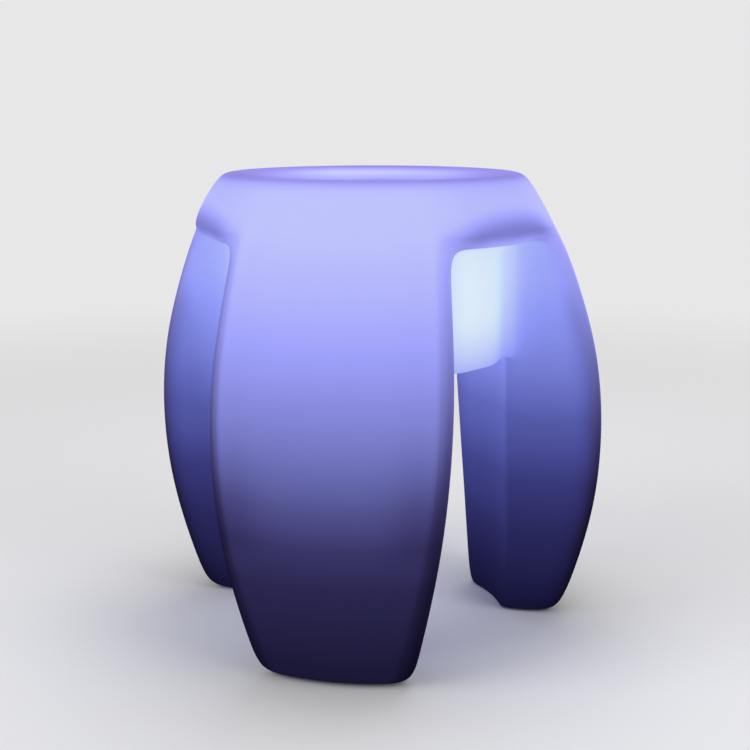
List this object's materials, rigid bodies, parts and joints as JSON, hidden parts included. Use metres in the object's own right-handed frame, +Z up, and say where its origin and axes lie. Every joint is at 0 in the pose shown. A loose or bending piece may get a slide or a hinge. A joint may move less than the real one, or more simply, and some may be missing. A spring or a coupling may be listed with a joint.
{
  "type": "light-up stool",
  "caption": "Round light-up stool: a glowing one-piece plastic shell with a dished seat, broad curved legs and a sealed battery lamp unit in the hub under the seat.",
  "frame": {"origin": "middle of the stool's box, on the floor", "axes": "+Z up, -Y towards the front leg, +X to the right seen from the front"},
  "size_m": [0.4368, 0.4023, 0.434],
  "materials": {
    "shell_plastic": "translucent satin, lit from inside in violet blue",
    "plate_plastic": "satin",
    "grey_silicone": "matte",
    "steel": "plain",
    "brass": "plain",
    "black_plastic": "satin",
    "cell_wrap": "shrink sleeve",
    "black_rubber": "matte",
    "lead_sleeve": "matte",
    "smoked_window": "polished",
    "circuit_board": "solder mask",
    "lamp_board": "white mask on aluminium",
    "lamp_package": "clear resin over a white cup",
    "opal": "opal, lit"
  },
  "bodies": {
    "stool": {"shell": "shell_plastic", "base_plate": "plate_plastic", "gasket": "grey_silicone", "base_screw_1": "steel", "base_screw_2": "steel", "base_screw_3": "steel", "base_screw_4": "steel", "base_screw_5": "steel", "base_screw_6": "steel", "board_screw_1": "steel", "board_screw_2": "steel", "board_screw_3": "steel", "switch_nut": "steel", "socket_nut": "steel", "cover_rivet": "steel", "battery_contact_1": "steel", "battery_contact_2": "steel", "insert_nut_1": "brass", "insert_nut_2": "brass", "insert_nut_3": "brass", "insert_nut_4": "brass", "insert_nut_5": "brass", "insert_nut_6": "brass", "board_post_1": "brass", "board_post_2": "brass", "board_post_3": "brass", "battery_tray": "black_plastic", "switch_body": "black_plastic", "charging_socket": "black_plastic", "receiver": "black_plastic", "driver_chip": "black_plastic", "battery_cell_1": "cell_wrap", "battery_cell_2": "cell_wrap", "cover_tab": "black_rubber", "switch_lead": "lead_sleeve", "charge_lead": "lead_sleeve", "lamp_lead": "lead_sleeve", "receiver_window": "smoked_window", "control_board": "circuit_board", "lamp_board": "lamp_board", "lamp_01": "lamp_package", "lamp_02": "lamp_package", "lamp_03": "lamp_package", "lamp_04": "lamp_package", "lamp_05": "lamp_package", "lamp_06": "lamp_package", "lamp_07": "lamp_package", "lamp_08": "lamp_package", "lamp_09": "lamp_package", "lamp_10": "lamp_package", "lamp_11": "lamp_package", "lamp_12": "lamp_package", "dome_diffuser": "opal"},
    "button": {"power_button": "grey_silicone", "switch_spring": "steel"},
    "cover": {"socket_cover": "black_rubber"}
  },
  "joints": [
    {"name": "button_press", "type": "slide", "parent": "stool", "child": "button", "axis": [0, 0, 1], "range_m": [0, 0.0015], "stiffness_N_per_m": 300, "deforming": ["switch_spring"]},
    {"name": "cover_hinge", "type": "hinge", "parent": "stool", "child": "cover", "pos_m": [0, 0.06054, 0.2638], "axis": [1, 0, 0], "range_deg": [0, 120]}
  ]
}
